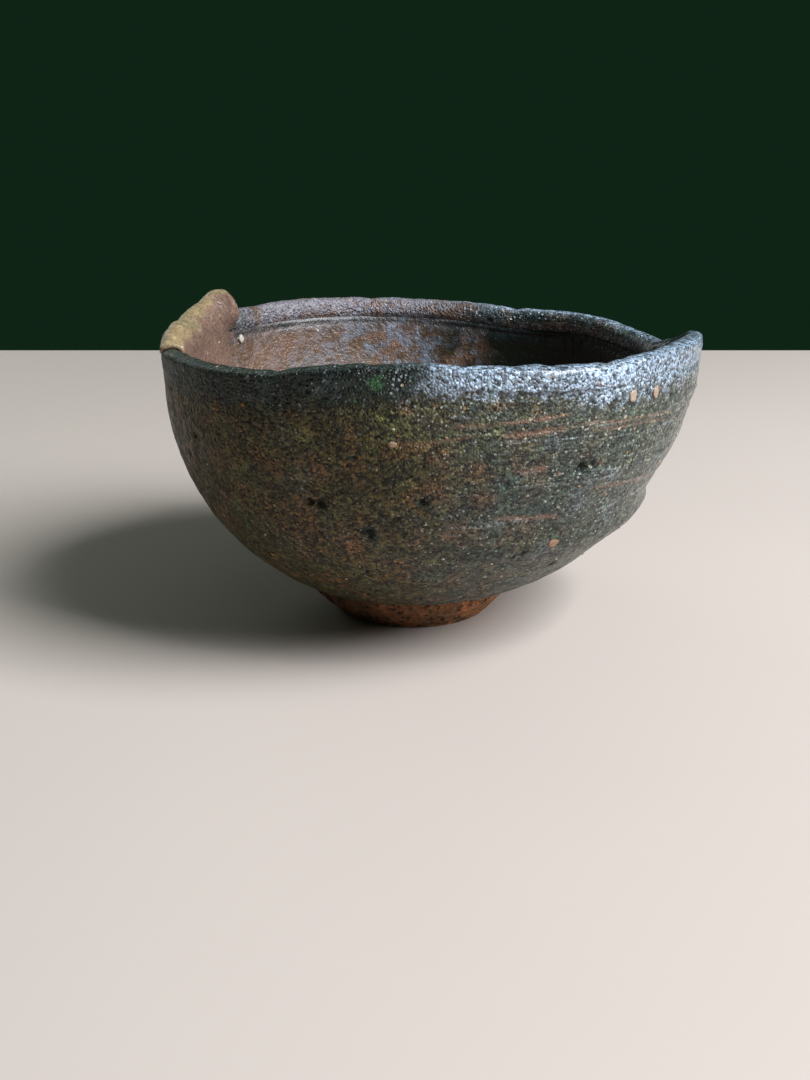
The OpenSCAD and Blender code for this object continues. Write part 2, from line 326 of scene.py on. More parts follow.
# rim band
rimBand = {
    "stations": 720, "rows": 54,
    "outer": [(0, 0), (0.85, 0.1), (1, 0.33), (0.9, 0.62)],  # share of the proudness and the height
    "over": [(0.02, 0.86), (0.27, 0.97), (0.5, 1), (0.76, 0.94), (0.95, 0.76), (1.04, 0.48), (1.03, 0.2)],
    "nicks": [(308, 0.75, 1.1), (313, 0.35, 0.8), (279, 0.3, 0.9), (242, 0.35, 1.2), (62, 0.5, 1.3), (101, 0.35, 1.0),
              (16, 0.4, 1.2), (345, 0.4, 1.0)],  # bearing, depth, width
    "steps": [(298, 12, 1.0), (95, 40, 0.7)],  # bearing, spread, share
    "waves": [(6, 0.22, 62), (2.3, 0.12, 63)], "lumps": [(2.2, 0.10, 65), (1.1, 0.05, 66)],
    # bearing, height, radius, depth
    "pits": [(307.5, 69.6, 0.7, 0.5), (326, 65.9, 0.9, 0.5), (279, 68, 0.5, 0.35), (68, 64.6, 0.7, 0.4),
             (250, 67.4, 0.5, 0.3)],
}


# the step under the band: clear at the right and the back, smoothed away at the left front
def bandProudness(bearing):
    step = sum(share * hill(bearing, at, width) for at, width, share in rimBand["steps"])
    return bowl["bandProud"] * (0.04 + 0.96 * np.clip(step, 0, 1))


def bandControls(bearing):
    low = rimTop(bearing) - bowl["bandHeight"]
    reach = wallReach(bearing, low)
    width = bowl["glaze"] + bowl["wall"] + bowl["lining"] - 0.8 * hill(bearing, 0, 9)
    proud = bandProudness(bearing)
    x, y = flatPlace(64, bearing)
    thick = 1 + 0.09 * softNoise(x, y, x * 0, 8, 61)
    tall = bowl["bandHeight"] + lumps(x, y, x * 0, rimBand["waves"])
    for at, depth, spread in rimBand["nicks"]:
        tall = tall - depth * hill(bearing, at, spread)
    outer = [(wallReach(bearing, low - 1.9) - 0.5, low - 1.9), (wallReach(bearing, low - 1.1) + 0.02, low - 1.1)] \
        + [(wallReach(bearing, low + tall * q) + 0.05 + proud * p, low + tall * q) for p, q in rimBand["outer"]]
    lean = 0.5 * (wallReach(bearing, low + 4) - reach)  # the band's top leans out with the wall
    over = [(reach + proud * 0.5 + lean - (width * thick + proud * 0.5 + lean * (p > 0.5)) * p, low + tall * q)
            for p, q in rimBand["over"]]
    inner = liningPoint(bearing, np.ones_like(bearing), bowl["lining"])
    return np.stack([np.stack(p, -1) for p in outer + over + [(inner[0] + 0.6, inner[1] - 0.6)]], 1)


bearings = allRound(rimBand["stations"])
controls = bandControls(bearings)
curve = splineThrough(controls, rimBand["rows"])
r, z = curve[..., 0], curve[..., 1]
b = bearings[:, None]
nr, nz = sectionNormals(r, z)
x, y = flatPlace(r, b)
push, groove, _, line = clayRelief(b + r * 0, r, z)  # the wall's own relief, so that the two join
along = np.linspace(0, 1, rimBand["rows"])[None, :]
push = push + ramp(along, 0.2, 0.4) * lumps(x, y, z, rimBand["lumps"])
pitDepth, pit = pressPits(b + r * 0, r, z, rimBand["pits"])
push = push - pitDepth
inward = ramp(along, 0.62, 0.75) + r * 0  # the face that looks into the bowl
marks = {"drop": np.clip(rimTop(b) - z, 0, 9), "pit": pit, "groove": groove, "line": line, "inward": inward,
         **stainMarks(b + r * 0, r, z)}
bandPiece = sweepMesh("rimBand", bearings, r + push * nr, z + push * nz, marks)
print("rim band:", len(bandPiece.data.polygons), "faces")

# inside coat, from the middle of the floor up to the band
insideCoat = {
    "stations": 480, "rows": 96, "backRows": 22, "thick": 1.5, "ridge": 0.2, "ridgePitch": 4.2,
    "lumps": [(16, 0.28, 71), (6, 0.13, 72), (2.2, 0.06, 73)],
    "poolRing": 19, "poolHeight": 0.35,  # faint ring round the pool
    "pitSeed": 22, "pits": 60, "pitHeights": (22, 66),
    "creaseDrop": 6.1, "creaseWidth": 0.75, "creaseDepth": 0.7,  # crease under the band
}


def liningRelief(bearing, r, z):
    x, y = flatPlace(r, bearing)
    push = lumps(x, y, z, insideCoat["lumps"])
    turn = (z - bearing / 360 * insideCoat["ridgePitch"]) * 2 * math.pi / insideCoat["ridgePitch"]
    ridge = np.sin(turn) * ramp(z, 16, 24) * (1 - ramp(z, 46, 56)) * (0.6 + 0.4 * softNoise(x, y, z, 20, 74))
    return push + insideCoat["ridge"] * ridge, turn


bearings = allRound(insideCoat["stations"])
b = bearings[:, None]
u = np.linspace(1, 0.012, insideCoat["rows"])[None, :]
r, z = liningPoint(b, u, bowl["lining"])
nr, nz = sectionNormals(r, z)  # this section runs down the inside, so its normals look into the bowl
x, y = flatPlace(r, b)
push, turn = liningRelief(b, r, z)
ringOff = (r - insideCoat["poolRing"] - 1.2 * softNoise(x, y, z, 9, 75)) / 1.3
push = push + insideCoat["poolHeight"] * np.exp(-ringOff ** 2)
pits = pitList(insideCoat["pitSeed"], insideCoat["pits"], *insideCoat["pitHeights"])
pitDepth, pit = pressPits(b + r * 0, r, z, pits)
creaseOff = rimTop(b) - z - insideCoat["creaseDrop"] - 0.5 * softNoise(x, y, z * 0, 5, 76)
underBand = np.exp(-((creaseOff / insideCoat["creaseWidth"]) ** 2))
pit = np.maximum(pit, underBand * np.clip(0.85 + 0.5 * softNoise(x, y, z * 0, 4, 77), 0, 1))
push = (push - pitDepth - insideCoat["creaseDepth"] * underBand) * ramp(u, 0.012, 0.06)
uBack = np.linspace(0.05, 1, insideCoat["backRows"])[None, :]
rBack, zBack = liningPoint(b, uBack, bowl["lining"] - insideCoat["thick"])
zBack = np.minimum(zBack, rimTop(b) - bowl["bandHeight"] + 0.2)
marks = {"drop": np.hstack([rimTop(b) - z, zBack * 0 + 20]), "pit": np.hstack([pit, zBack * 0]),
         "groove": np.hstack([r * 0, zBack * 0]),
         "line": np.hstack([0.5 + 0.5 * np.sin(turn), zBack * 0 + 0.5])}
rows, backRows = insideCoat["rows"], insideCoat["backRows"]
marks = {name: np.hstack([values[:, -backRows:], values[:, :rows]]) for name, values in marks.items()}
liningPiece = sweepMesh("insideCoat", bearings, np.hstack([rBack, r + push * nr]), np.hstack([zBack, z + push * nz]),
                        marks, loop=False,
                        poles=[(0, bowl["floorHeight"] - insideCoat["thick"]), (1, bowl["floorHeight"])])
print("inside coat:", len(liningPiece.data.polygons), "faces")

# folded lobe at the left back
lobe = {
    "from": 147.8, "to": 193, "stations": 150, "rows": 40, "thick": 2.4, "up": 5.2,
    "bottom": 0.47,  # share of the way up the inside where it ends
    "notches": [(171.5, 0.8, 1.6), (160, 0.3, 2.0), (182, 0.5, 1.6)],  # bearing, depth, width
    # share of the band's width, share of the thickness inwards, share of the lift
    "section": [(0, 0.8, 0), (0.02, 0.7, 0.3), (0.12, 0.5, 0.6), (0.3, 0.3, 0.86), (0.5, 0.1, 1.0), (0.72, 0, 0.97),
                (0.9, 0, 0.72), (1.0, 0, 0.35), (1.03, 0, 0.0)],
    "lifts": [(149.8, 9, 1.04), (180, 12, 0.85)],  # bearing, spread, share
    "lumps": [(6, 0.22, 82), (2.4, 0.12, 83), (1.2, 0.06, 84)],
    "bedRows": 14, "endRows": 14, "sunk": 1.2,
}


def lobeSections(bearing):
    start = np.sqrt(np.clip(1 - (1 - np.clip((bearing - lobe["from"]) / 1.1, 0, 1)) ** 2, 0.0009, 1))
    thick = lobe["thick"] * start * np.clip((lobe["to"] + 0.4 - bearing) / 20, 0.03, 1)
    x, y = flatPlace(60, bearing)
    lift = lobe["up"] * sum(share * hill(bearing, at, spread) for at, spread, share in lobe["lifts"]) + 0.4
    lift = lift * (1 + 0.05 * softNoise(x, y, x * 0, 3, 81)) * start
    for at, depth, spread in lobe["notches"]:
        lift = lift - depth * hill(bearing, at, spread)
    lift = np.maximum(lift * np.clip((lobe["to"] + 2 - bearing) / 6, 0.1, 1), 0.1)
    bed = [liningPoint(bearing, bearing * 0 + share, bowl["lining"])
           for share in np.linspace(lobe["bottom"], 1, 7)]
    band = bandControls(bearing)
    top = [(band[:, k, 0], band[:, k, 1]) for k in (12, 11, 10, 9, 8, 7, 6)]
    bed = np.stack([np.stack(p, -1) for p in bed + top], 1)
    share, away = np.linspace(0, 1, 7)[:, None], ramp(bearing, lobe["from"], lobe["from"] + 9)
    grow = thick * 0.62 * share ** 1.5 * away - 0.45 * (1 - away * np.clip(share * 3, 0, 1))
    face = [(bed[:, k, 0] - grow[k], bed[:, k, 1]) for k in range(7)]
    bed[:, :7, 0] += lobe["sunk"]
    inner, outer, crest = band[:, 12, 0], band[:, 5, 0], band[:, 8, 1]
    width = outer - inner
    for across, into, rise in lobe["section"]:
        face.append((inner + across * width - into * thick, crest + rise * lift - (1.1 if rise < 0.05 else 0)))
    face = np.stack([np.stack(p, -1) for p in face], 1)
    return bed, face, lift, thick


bearings = lobe["from"] + (lobe["to"] - lobe["from"]) * np.linspace(0, 1, lobe["stations"])
n = lobe["endRows"]  # stations closer together at the rounded end
bearings[:n] = lobe["from"] + (bearings[n] - lobe["from"]) * (np.linspace(0, 1, n + 1)[:n] ** 2)
bed, face, lift, thick = lobeSections(bearings)
bed = splineThrough(bed, lobe["bedRows"])
face = splineThrough(face, lobe["rows"])
b = bearings[:, None]
fr, fz = face[..., 0], face[..., 1]
nr, nz = sectionNormals(fr, fz)
x, y = flatPlace(fr, b)
up = np.linspace(0, 1, lobe["rows"])[None, :]
push = lumps(x, y, fz, lobe["lumps"]) * ramp(thick[:, None], 0.1, 1.2) * ramp(up, 0.1, 0.45)
push = push + liningRelief(b, fr, fz)[0] * (1 - ramp(up, 0.3, 0.6))  # low down it follows the wall it lies on
crest = fz.max(axis=1)[:, None]
below = crest - fz
outerPart = (np.arange(lobe["rows"])[None, :] / lobe["rows"]) > 0.8
ash = 1 - ramp(below + 0.8 * softNoise(x, y, fz, 3, 85), 0.2, 1.8 + 3.2 * ramp(b, 160, 182))
ash = np.where(outerPart, 0.85, ash)
r = np.hstack([bed[..., 0], (fr - push * nr)[:, ::-1]])
z = np.hstack([bed[..., 1], (fz - push * nz)[:, ::-1]])
marks = {"drop": np.hstack([bed[..., 1] * 0, np.clip(below, 0, 40)[:, ::-1]]),
         "ash": np.hstack([bed[..., 0] * 0, ash[:, ::-1]]), "pit": z * 0, "groove": z * 0, "line": z * 0 + 0.5}
lobePiece = sweepMesh("foldedLobe", bearings, r, z, marks, round360=False)
closing = bmesh.new()  # the two ends are closed with a strip of faces
closing.from_mesh(lobePiece.data)
closing.verts.ensure_lookup_table()
edges = [e for e in closing.edges if e.is_boundary]
bmesh.ops.holes_fill(closing, edges=edges, sides=0)
bmesh.ops.triangulate(closing, faces=[f for f in closing.faces if len(f.verts) > 4])
closing.to_mesh(lobePiece.data)
closing.free()
print("folded lobe:", len(lobePiece.data.polygons), "faces")

# foot ring and the clay it hangs from
foot = {
    "stations": 480, "rows": 96, "base": 20.0, "hollow": 14.0, "hollowDepth": 5.6, "nipple": 0.9,
    "lumps": [(6, 0.20, 91), (2.2, 0.16, 92), (1.1, 0.10, 93)],
    "swell": 0.9, "swellBearing": 185, "swellSpread": 30,
    "chipSeed": 23, "chips": 90, "chipHeights": (0.6, 9), "worn": 0.12,
}
b = allRound(foot["stations"])[:, None]
base, top, high = foot["base"], bowl["footTop"], bowl["footHeight"]
ringPoints = [(foot["hollow"], high), (foot["hollow"], foot["hollowDepth"] - 1), (foot["hollow"] + 0.3, 2),
              (foot["hollow"] + 0.9, 0.7), (foot["hollow"] + 2, 0.12), (foot["hollow"] + 3, 0), (base - 1.3, 0),
              (base - 0.4, 0.2), (base + 0.1, 0.8), (base + 1.5, 2.2), (base + 3.4, 4.4),
              (base + 0.9 * (top - base), 6.2), (top - 0.05, high - 0.1), ((top + foot["hollow"]) / 2, high)]
curve = splineThrough(np.array(ringPoints)[None].repeat(foot["stations"], 0), foot["rows"], closed=True)
r, z = curve[..., 0], np.clip(curve[..., 1], 0, high)
nr, nz = sectionNormals(r, z)
x, y = flatPlace(r, b)
push = lumps(x, y, z, foot["lumps"]) + 0.10 * softNoise(x / 16, y / 16, z, 1.0, 94)  # the last runs level
push = push + foot["swell"] * hill(b, foot["swellBearing"], foot["swellSpread"]) * ramp(z, 1, 4) * (r > 18)
depth, pit = pressPits(b + r * 0, r, z, pitList(foot["chipSeed"], foot["chips"], *foot["chipHeights"]))
push = (push - foot["worn"] - 0.9 * depth) * ramp(z, 0.0, 0.6) * (1 - ramp(z, high - 1.0, high - 0.3))
footPiece = sweepMesh("footRing", b[:, 0], r + push * nr, np.clip(z + push * nz, 0, None),
                      {"drop": r * 0 + 20, "pit": pit, "groove": r * 0, "line": r * 0 + 0.5})

clayBody = {"stations": 360, "hollowRows": 44, "outerRows": 24, "innerRows": 26,
            "underGlaze": 2.0, "underLining": 1.6}
b = allRound(clayBody["stations"])[:, None]
v = np.linspace(0.02, 1, clayBody["hollowRows"])[None, :]
r0 = v * (foot["hollow"] - 0.02) + b * 0
x, y = flatPlace(r0, b)
turning = 0.12 * np.sin(r0 * 2.6 + np.radians(b)) * ramp(r0, 2, 5) * (1 - ramp(r0, 11, 13))
z0 = foot["hollowDepth"] - foot["nipple"] * np.exp(-((r0 / 3.2) ** 2)) + turning
z0 = z0 + 0.12 * softNoise(x, y, r0 * 0, 2.4, 95)
s = np.linspace(0, 1, clayBody["outerRows"])[None, :]
z1 = high + (rimTop(b) - bowl["bandHeight"] - high) * s ** 1.3
r1 = wallReach(b, z1) - clayBody["underGlaze"]
r1[:, 0] = top - 0.4
u = np.linspace(1, 0.06, clayBody["innerRows"])[None, :]
r2, z2 = liningPoint(b, u, -clayBody["underLining"])
z2 = np.minimum(z2, rimTop(b) - bowl["bandHeight"])
shelf = np.full((clayBody["stations"], 1), foot["hollow"] - 0.02)
r = np.hstack([r0, shelf, r1, r2])
z = np.hstack([z0, shelf * 0 + high, z1, z2])
clayPiece = sweepMesh("clayWall", b[:, 0], r, z,
                      {"drop": r * 0 + 20, "pit": r * 0, "groove": r * 0, "line": r * 0 + 0.5},
                      loop=False, poles=[(0, foot["hollowDepth"] - foot["nipple"]), (1, bowl["floorHeight"] - 2.2)])
print("foot ring and clay wall:", len(footPiece.data.polygons) + len(clayPiece.data.polygons), "faces")


# shader groups shared by the finishes
def addNode(tree, kind, place=(0, 0), **settings):
    node = tree.nodes.new(kind)
    node.location = place
    for key, value in settings.items():
        setattr(node, key, value)
    return node


# links an output to an input, or sets the input where the source is a plain value
def feed(tree, source, target):
    if isinstance(source, bpy.types.NodeSocket):
        tree.links.new(source, target)
    else:
        target.default_value = source


def newGroup(name, inputs, outputs):
    tree = bpy.data.node_groups.new(name, "ShaderNodeTree")
    for label, kind, value in inputs:
        socket = tree.interface.new_socket(label, in_out="INPUT", socket_type=kind)
        if value is not None:
            socket.default_value = value
    for label, kind in outputs:
        tree.interface.new_socket(label, in_out="OUTPUT", socket_type=kind)
    return tree, addNode(tree, "NodeGroupInput", (-900, 0)), addNode(tree, "NodeGroupOutput", (700, 0))


def math2(tree, operation, a, b=None, clamp=False):
    node = addNode(tree, "ShaderNodeMath", operation=operation, use_clamp=clamp)
    feed(tree, a, node.inputs[0])
    if b is not None:
        feed(tree, b, node.inputs[1])
    return node.outputs[0]


def times(tree, a, b):
    return math2(tree, "MULTIPLY", a, b)


def mapRange(tree, value, low, high, outLow=0.0, outHigh=1.0):
    node = addNode(tree, "ShaderNodeMapRange", interpolation_type="SMOOTHSTEP")
    for socket, v in zip(("Value", "From Min", "From Max", "To Min", "To Max"), (value, low, high, outLow, outHigh)):
        feed(tree, v, node.inputs[socket])
    return node.outputs["Result"]


def toned(tree, colour, factor):
    node = addNode(tree, "ShaderNodeVectorMath", operation="SCALE")
    feed(tree, colour, node.inputs[0])
    feed(tree, factor, node.inputs["Scale"])
    return node.outputs[0]


# coordinates counted in units of size
def scaled(tree, vector, size):
    return toned(tree, vector, math2(tree, "DIVIDE", 1.0, size))


def axesOf(tree, coords):
    node = addNode(tree, "ShaderNodeSeparateXYZ")
    feed(tree, coords, node.inputs[0])
    return node.outputs[0], node.outputs[1], node.outputs[2]


def mixColour(tree, share, a, b):
    node = addNode(tree, "ShaderNodeMix", data_type="RGBA")
    feed(tree, share, node.inputs["Factor"])
    for value, socket in ((a, node.inputs[6]), (b, node.inputs[7])):
        feed(tree, value if isinstance(value, bpy.types.NodeSocket) else (*value, 1.0), socket)
    return node.outputs[2]


# sandy grains: a height and a light-dark value from the same grains
sandGrain, entry, out = newGroup(
    "sandGrain", [("Vector", "NodeSocketVector", None), ("Size", "NodeSocketFloat", 0.0005)],
    [("Height", "NodeSocketFloat"), ("Shade", "NodeSocketFloat")])
where = scaled(sandGrain, entry.outputs["Vector"], entry.outputs["Size"])
cells = addNode(sandGrain, "ShaderNodeTexVoronoi", feature="F1")
rough = addNode(sandGrain, "ShaderNodeTexNoise")
feed(sandGrain, where, cells.inputs["Vector"])
feed(sandGrain, where, rough.inputs["Vector"])
cells.inputs["Scale"].default_value = 1.0
rough.inputs["Scale"].default_value = 0.55
rough.inputs["Detail"].default_value = 3.0
rough.inputs["Roughness"].default_value = 0.65
dome = math2(sandGrain, "SUBTRACT", 1.0, cells.outputs["Distance"])
feed(sandGrain, times(sandGrain, dome, mapRange(sandGrain, rough.outputs["Fac"], 0.3, 0.7, 0.35, 1.0)),
     out.inputs["Height"])
apart = addNode(sandGrain, "ShaderNodeSeparateColor")
feed(sandGrain, cells.outputs["Color"], apart.inputs[0])
feed(sandGrain, math2(sandGrain, "MULTIPLY_ADD", apart.outputs[0], rough.outputs["Fac"]), out.inputs["Shade"])

# cloudy patches
kilnMottle, entry, out = newGroup(
    "kilnMottle", [("Vector", "NodeSocketVector", None), ("Size", "NodeSocketFloat", 0.01),
                   ("Low", "NodeSocketFloat", 0.4), ("High", "NodeSocketFloat", 0.6)],
    [("Patch", "NodeSocketFloat")])
cloud = addNode(kilnMottle, "ShaderNodeTexNoise")
feed(kilnMottle, scaled(kilnMottle, entry.outputs["Vector"], entry.outputs["Size"]), cloud.inputs["Vector"])
cloud.inputs["Scale"].default_value = 1.0
cloud.inputs["Detail"].default_value = 5.0
cloud.inputs["Roughness"].default_value = 0.62
cloud.inputs["Distortion"].default_value = 0.35
feed(kilnMottle, mapRange(kilnMottle, cloud.outputs["Fac"], entry.outputs["Low"], entry.outputs["High"]),
     out.inputs["Patch"])

# scattered specks or pinholes: share is how many of the cells have one
scatterSpots, entry, out = newGroup(
    "scatterSpots", [("Vector", "NodeSocketVector", None), ("Spacing", "NodeSocketFloat", 0.003),
                     ("Share", "NodeSocketFloat", 0.3), ("Radius", "NodeSocketFloat", 0.15)],
    [("Spot", "NodeSocketFloat"), ("Tint", "NodeSocketFloat")])
cells = addNode(scatterSpots, "ShaderNodeTexVoronoi", feature="F1")
cells.inputs["Scale"].default_value = 1.0
wobble = addNode(scatterSpots, "ShaderNodeTexNoise")
wobble.inputs["Scale"].default_value = 5.0
where = scaled(scatterSpots, entry.outputs["Vector"], entry.outputs["Spacing"])
feed(scatterSpots, where, cells.inputs["Vector"])
feed(scatterSpots, where, wobble.inputs["Vector"])
apart = addNode(scatterSpots, "ShaderNodeSeparateColor")
feed(scatterSpots, cells.outputs["Color"], apart.inputs[0])
reach = times(scatterSpots, entry.outputs["Radius"],
              mapRange(scatterSpots, wobble.outputs["Fac"], 0.25, 0.75, 0.55, 1.4))
far = math2(scatterSpots, "DIVIDE", cells.outputs["Distance"], reach)
near = math2(scatterSpots, "SUBTRACT", 1.0, far, clamp=True)
chosen = math2(scatterSpots, "LESS_THAN", apart.outputs[1], entry.outputs["Share"])
feed(scatterSpots, times(scatterSpots, mapRange(scatterSpots, near, 0.0, 0.35), chosen), out.inputs["Spot"])
feed(scatterSpots, apart.outputs[2], out.inputs["Tint"])

# fine level lines from the wheel and the rib
ribLines, entry, out = newGroup(
    "ribLines", [("Vector", "NodeSocketVector", None), ("Pitch", "NodeSocketFloat", 0.0007)],
    [("Line", "NodeSocketFloat")])
flat = addNode(ribLines, "ShaderNodeVectorMath", operation="MULTIPLY")
feed(ribLines, scaled(ribLines, entry.outputs["Vector"], entry.outputs["Pitch"]), flat.inputs[0])
flat.inputs[1].default_value = (0.035, 0.035, 1.0)
streak = addNode(ribLines, "ShaderNodeTexNoise")
feed(ribLines, flat.outputs[0], streak.inputs["Vector"])
streak.inputs["Scale"].default_value = 1.0
streak.inputs["Detail"].default_value = 2.0
feed(ribLines, streak.outputs["Fac"], out.inputs["Line"])


def place(tree, group, **values):
    node = tree.nodes.new("ShaderNodeGroup")
    node.node_tree = group
    for key, value in values.items():
        feed(tree, value, node.inputs[key])
    return node


def mark(tree, name):
    return addNode(tree, "ShaderNodeAttribute", attribute_name=name).outputs["Fac"]


def newFinish(name):
    material = bpy.data.materials.new(name)
    material.use_nodes = True
    tree = material.node_tree
    shader = tree.nodes["Principled BSDF"]
    coords = addNode(tree, "ShaderNodeTexCoord", (-1400, 0)).outputs["Object"]
    return material, tree, shader, coords


def bumpFrom(tree, height, strength, distance, onto=None):
    node = addNode(tree, "ShaderNodeBump")
    node.inputs["Strength"].default_value = strength
    node.inputs["Distance"].default_value = distance
    feed(tree, height, node.inputs["Height"])
    if onto is not None:
        feed(tree, onto, node.inputs["Normal"])
    return node.outputs["Normal"]


# glazed finishes: colours, then sizes of the patterns in metres, then where each change starts and ends
ironGlazeColours = {
    "brown": (0.074, 0.055, 0.017), "olive": (0.045, 0.058, 0.036), "rust": (0.19, 0.080, 0.028),
    "moss": (0.10, 0.105, 0.035), "mossBright": (0.17, 0.17, 0.055), "dark": (0.014, 0.020, 0.015),
    "frost": (0.12, 0.135, 0.15), "green": (0.05, 0.16, 0.06), "teal": (0.020, 0.050, 0.042),
    "band": (0.009, 0.021, 0.017), "bandSheen": (0.35, 0.41, 0.49), "backSheen": (0.21, 0.19, 0.215),
    "backRust": (0.15, 0.085, 0.055), "bandInsideShade": (0.075, 0.045, 0.028), "streak": (0.27, 0.28, 0.27),
    "bare": (0.40, 0.19, 0.12), "paleSpeck": (0.62, 0.50, 0.33), "ochreSpeck": (0.50, 0.24, 0.06),
    "hole": (0.005, 0.007, 0.005), "ink": (0.010, 0.014, 0.011), "glint": (0.46, 0.46, 0.38),
    "bandGlint": (0.60, 0.66, 0.74), "coatTint": (0.86, 0.93, 1.0, 1.0),
}
ironGlazePatterns = {
    "large": {"Size": 0.022, "Low": 0.36, "High": 0.62}, "patch": {"Size": 0.0075, "Low": 0.50, "High": 0.60},
    "moss": {"Size": 0.0098, "Low": 0.50, "High": 0.66}, "cloud": {"Size": 0.0026, "Low": 0.40, "High": 0.62},
    "greenSpot": {"Size": 0.006, "Low": 0.64, "High": 0.72}, "grain": {"Size": 0.00060}, "coarse": {"Size": 0.00135},
    "lines": {"Pitch": 0.0008},
    "specks": {"Spacing": 0.0028, "Share": 0.22, "Radius": 0.13},
    "holes": {"Spacing": 0.0021, "Share": 0.25, "Radius": 0.17},
    "ink": {"Spacing": 0.0012, "Share": 0.5, "Radius": 0.32},
    "glint": {"Spacing": 0.0011, "Share": 0.36, "Radius": 0.31},
}
ironGlazeReach = {
    # along X, towards the point
    "olive": (-0.010, 0.032), "rust": (0.045, 0.005, 0.10, 0.42), "dark": (-0.055, -0.010, 0.42, 0.62),
    "pale": (-0.026, 0.034), "pointFade": (0.028, 0.060, 1.0, 0.55), "crispLeft": (-0.012, 0.002),
    "crispRight": (0.036, 0.022), "backLeft": (0.036, 0.006), "bandInsideShade": (-0.006, 0.026, 0.0, 0.94),
    "glint": (-0.045, 0.012, 0.12, 0.8), "shine": (-0.032, 0.010), "lines": (-0.02, 0.03, 0.15, 1.0),
    # along Y, towards the back
    "crispFront": (-0.02, -0.04), "behind": (0.020, 0.042),
    # up Z
    "fineLines": (0.033, 0.042), "shineUp": (0.012, 0.050, 0.25, 1.0),
    # down from the rim, in mm: where the band's colour starts to fade and where it is gone
    "fadeFrom": (5.0, 4.3), "fadeTo": (10.0, 6.4),
}


